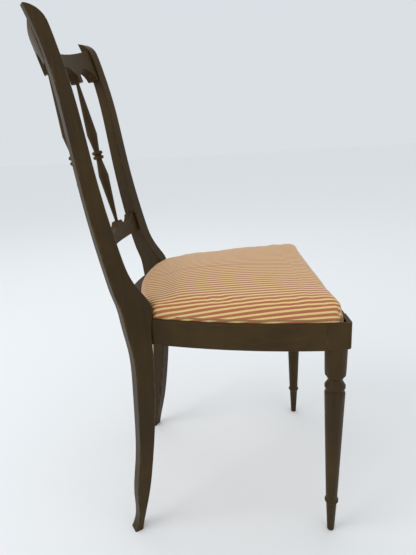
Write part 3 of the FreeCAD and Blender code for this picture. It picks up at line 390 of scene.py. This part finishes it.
class CHAIR_OT_cushion(bpy.types.Operator):
    """The stuffed seat under its striped cover"""
    bl_idname = "chair.cushion"
    bl_label = "Stuff the seat"

    def execute(self, context):
        values = settings()
        piece = convex_copy(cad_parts["seat_cover"], "seat_cushion")
        remesh = piece.modifiers.new("Remesh", "REMESH")
        remesh.mode = "VOXEL"
        remesh.voxel_size = values.cushion_voxel
        apply_modifier(piece, remesh)
        before = [v.co.copy() for v in piece.data.vertices]
        swell(piece, values)
        low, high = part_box("seat_cover")
        rail_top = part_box("side_seat_rail_right")[1][2]
        stile_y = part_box("rear_leg_right")[0][1]
        for vertex, start in zip(piece.data.vertices, before):
            free = smooth_step(rail_top + RAIL_FADE[0], rail_top + RAIL_FADE[1], start.z)
            free *= 1 - smooth_step(stile_y + STILE_FADE[0], stile_y + STILE_FADE[1], start.y)
            move = vertex.co - start
            if move.length > values.cushion_cap:
                move *= values.cushion_cap / move.length
            vertex.co = start + move * free
            vertex.co.z += max(start.z - rail_top, 0.0) * (values.cushion_rise - 1)
        self.sew(piece, low, high, rail_top, values)
        round_off = piece.modifiers.new("Smooth", "SUBSURF")
        round_off.levels = 1
        round_off.render_levels = 1
        apply_modifier(piece, round_off)
        self.mark_stripes(piece, high)
        for polygon in piece.data.polygons:
            polygon.use_smooth = True
        piece.data.materials.append(stripe_material(values))
        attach(piece, SEAT_BODY)
        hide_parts("seat_cover", "seat_stuffing")
        return {"FINISHED"}

    def sew(self, piece, low, high, rail_top, values):
        """Pleats at the front corners, a crease behind the front edge, a ridge along the rear."""
        front, rear = low[1], high[1]
        half = high[0]
        crease_y = front + CREASE_SET
        for vertex in piece.data.vertices:
            x, y, z = vertex.co
            if z < rail_top:
                continue
            lift = smooth_step(rail_top, rail_top + SEAM_FADE, z)
            for side in (-1, 1):
                corner = Vector((side * (half - CORNER_SET), front + CORNER_SET))
                away = Vector((x, y)) - corner
                if away.length > PLEAT_REACH:
                    continue
                angle = math.atan2(away.y, away.x * side)
                fold = math.exp(-((angle + math.pi / 4) / PLEAT_SPREAD) ** 2)
                fold *= smooth_step(0.0, PLEAT_START, away.length)
                vertex.co -= Vector((side, -1, 0.4)).normalized() * values.corner_pleat * fold
            crease = math.exp(-((y - crease_y) / CREASE_WIDTH) ** 2)
            roll = math.exp(-((y - crease_y - ROLL_SET) / ROLL_WIDTH) ** 2)
            ridge = math.exp(-((y - rear + RIDGE_SET) / RIDGE_WIDTH) ** 2)
            vertex.co.z -= CREASE_DEPTH * lift * crease
            vertex.co.z += ROLL_HEIGHT * lift * roll
            vertex.co.z += RIDGE_HEIGHT * lift * ridge

    def mark_stripes(self, piece, high):
        """Distance across the cloth, from the middle out and then down the sides."""
        mesh = piece.data
        stripe = mesh.attributes.new("stripe", "FLOAT", "POINT")
        for index, vertex in enumerate(mesh.vertices):
            sideways = smooth_step(0.05, 0.9, abs(vertex.normal.x))
            drop = (high[2] - vertex.co.z) * sideways
            stripe.data[index].value = abs(vertex.co.x) + drop


# Tacks under the seat

def tack_mesh():
    """One tack head, its dome downwards."""
    mesh = bpy.data.meshes.new("tack_head")
    shape = bmesh.new()
    bmesh.ops.create_uvsphere(shape, u_segments=10, v_segments=6, radius=TACK_RADIUS)
    for vertex in shape.verts:
        vertex.co.z = min(vertex.co.z, TACK_EDGE) * TACK_FLATNESS
    shape.to_mesh(mesh)
    shape.free()
    return mesh


def spaced(half, pitch):
    """Even places from -half to half, no closer than the pitch."""
    count = int(2 * half / pitch)
    return [-half + 2 * half * i / count for i in range(count + 1)]


class CHAIR_OT_tacks(bpy.types.Operator):
    """Blued tacks along the turned-under cloth"""
    bl_idname = "chair.tacks"
    bl_label = "Drive the tacks"

    def execute(self, context):
        values = settings()
        low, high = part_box("seat_cover")
        z = low[2] + TACK_SET
        front_half = high[0] - FRONT_MARGIN
        route = [(x, low[1] + TACK_INSET, z) for x in spaced(front_half, values.tack_pitch)]
        route += [(x, high[1] - TACK_INSET - x * x / REAR_BOW, z)
                  for x in spaced(REAR_HALF, values.tack_pitch)]
        source = bpy.data.meshes.new("tack_route")
        source.from_pydata(route, [], [])
        piece = bpy.data.objects.new("seat_tacks", source)
        context.scene.collection.objects.link(piece)
        head = bpy.data.objects.new("tack_head", tack_mesh())
        blued, _, shader, _ = new_material("blued_steel")
        shader.inputs["Base Color"].default_value = (0.03, 0.03, 0.035, 1.0)
        shader.inputs["Metallic"].default_value = 1.0
        shader.inputs["Roughness"].default_value = 0.4
        head.data.materials.append(blued)

        group = bpy.data.node_groups.new("Tacks", "GeometryNodeTree")
        group.interface.new_socket("Geometry", in_out="INPUT", socket_type="NodeSocketGeometry")
        group.interface.new_socket("Geometry", in_out="OUTPUT", socket_type="NodeSocketGeometry")
        start = group.nodes.new("NodeGroupInput")
        end = group.nodes.new("NodeGroupOutput")
        shape = group.nodes.new("GeometryNodeObjectInfo")
        shape.inputs["Object"].default_value = head
        spread = group.nodes.new("GeometryNodeInstanceOnPoints")
        real = group.nodes.new("GeometryNodeRealizeInstances")
        link = group.links.new
        link(start.outputs["Geometry"], spread.inputs["Points"])
        link(shape.outputs["Geometry"], spread.inputs["Instance"])
        link(spread.outputs["Instances"], real.inputs["Geometry"])
        link(real.outputs["Geometry"], end.inputs["Geometry"])
        modifier = piece.modifiers.new("Tacks", "NODES")
        modifier.node_group = group
        apply_modifier(piece, modifier)
        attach(piece, SEAT_BODY)
        return {"FINISHED"}


# Stage: floor and backdrop, light and camera

CAMERA_PLACE = (-0.8774, -0.02955, 0.7280)
CAMERA_YAW = -0.73
CAMERA_PITCH = 17.63
CAMERA_ROLL = -3.36
CAMERA_LENS = 29.84


def camera_matrix():
    """Looks along +X, turned by yaw, tipped down by pitch and rolled about its own axis."""
    yaw, pitch, roll = (math.radians(a) for a in (CAMERA_YAW, CAMERA_PITCH, CAMERA_ROLL))
    forward = Vector((math.cos(yaw) * math.cos(pitch), -math.sin(yaw) * math.cos(pitch),
                      -math.sin(pitch)))
    level = Vector((-math.sin(yaw), -math.cos(yaw), 0.0))
    up = level.cross(forward)
    right = math.cos(roll) * level + math.sin(roll) * up
    above = -math.sin(roll) * level + math.cos(roll) * up
    matrix = Matrix((right, above, -forward)).transposed().to_4x4()
    matrix.translation = Vector(CAMERA_PLACE)
    return matrix


class CHAIR_OT_stage(bpy.types.Operator):
    """Pale seamless floor, soft daylight and the photo's camera"""
    bl_idname = "chair.stage"
    bl_label = "Set the stage"

    def execute(self, context):
        values = settings()
        scene = context.scene
        paint, _, shader, _ = new_material("backdrop")
        shader.inputs["Base Color"].default_value = (*values.backdrop, 1.0)
        shader.inputs["Roughness"].default_value = 0.85
        mesh = bpy.data.meshes.new("floor")
        corners = [(x * FLOOR_REACH, y * FLOOR_REACH, 0) for x, y in ((-1, -1), (1, -1), (1, 1), (-1, 1))]
        mesh.from_pydata(corners, [], [(0, 1, 2, 3)])
        mesh.materials.append(paint)
        floor = bpy.data.objects.new("floor", mesh)
        scene.collection.objects.link(floor)

        world = bpy.data.worlds.new("Daylight")
        scene.world = world
        world.use_nodes = True
        tree = world.node_tree
        sky = tree.nodes["Background"]
        sky.inputs["Color"].default_value = (*values.backdrop, 1.0)
        sky.inputs["Strength"].default_value = 1.0
        seen = tree.nodes.new("ShaderNodeBackground")
        seen.inputs["Color"].default_value = (*values.backdrop_seen, 1.0)
        path = tree.nodes.new("ShaderNodeLightPath")
        either = tree.nodes.new("ShaderNodeMixShader")
        tree.links.new(path.outputs["Is Camera Ray"], either.inputs["Fac"])
        tree.links.new(sky.outputs["Background"], either.inputs[1])
        tree.links.new(seen.outputs["Background"], either.inputs[2])
        tree.links.new(either.outputs["Shader"], tree.nodes["World Output"].inputs["Surface"])

        for name, place, size, energy in LAMPS:
            light = bpy.data.lights.new(name, "AREA")
            light.size = size
            light.energy = energy
            lamp = bpy.data.objects.new(name, light)
            lamp.location = place
            aim = Vector(LAMP_AIM) - Vector(place)
            lamp.rotation_mode = "QUATERNION"
            lamp.rotation_quaternion = aim.to_track_quat("-Z", "Y")
            scene.collection.objects.link(lamp)

        lens = bpy.data.cameras.new("photo_camera")
        lens.lens = CAMERA_LENS
        lens.sensor_width = 36.0
        camera = bpy.data.objects.new("photo_camera", lens)
        camera.matrix_world = camera_matrix()
        scene.collection.objects.link(camera)
        scene.camera = camera
        scene.view_settings.view_transform = "Standard"
        return {"FINISHED"}


class CHAIR_PT_panel(bpy.types.Panel):
    """The chair's settings and steps in the sidebar"""
    bl_label = "Spindle Back Chair"
    bl_idname = "CHAIR_PT_panel"
    bl_space_type = "VIEW_3D"
    bl_region_type = "UI"
    bl_category = "Chair"

    def draw(self, context):
        for name in ChairSettings.__annotations__:
            self.layout.prop(context.scene.chair, name)
        for operator in STEPS:
            self.layout.operator(operator.bl_idname)


STEPS = (CHAIR_OT_wood, CHAIR_OT_cloths, CHAIR_OT_cushion, CHAIR_OT_tacks, CHAIR_OT_stage)
CLASSES = (ChairSettings, *STEPS, CHAIR_PT_panel)


def register():
    for cls in CLASSES:
        bpy.utils.register_class(cls)
    bpy.types.Scene.chair = PointerProperty(type=ChairSettings)


def unregister():
    del bpy.types.Scene.chair
    for cls in reversed(CLASSES):
        bpy.utils.unregister_class(cls)


def main():
    register()
    bpy.ops.chair.wood()
    bpy.ops.chair.cloths()
    bpy.ops.chair.cushion()
    bpy.ops.chair.tacks()
    bpy.ops.chair.stage()


if __name__ == "__main__":
    main()
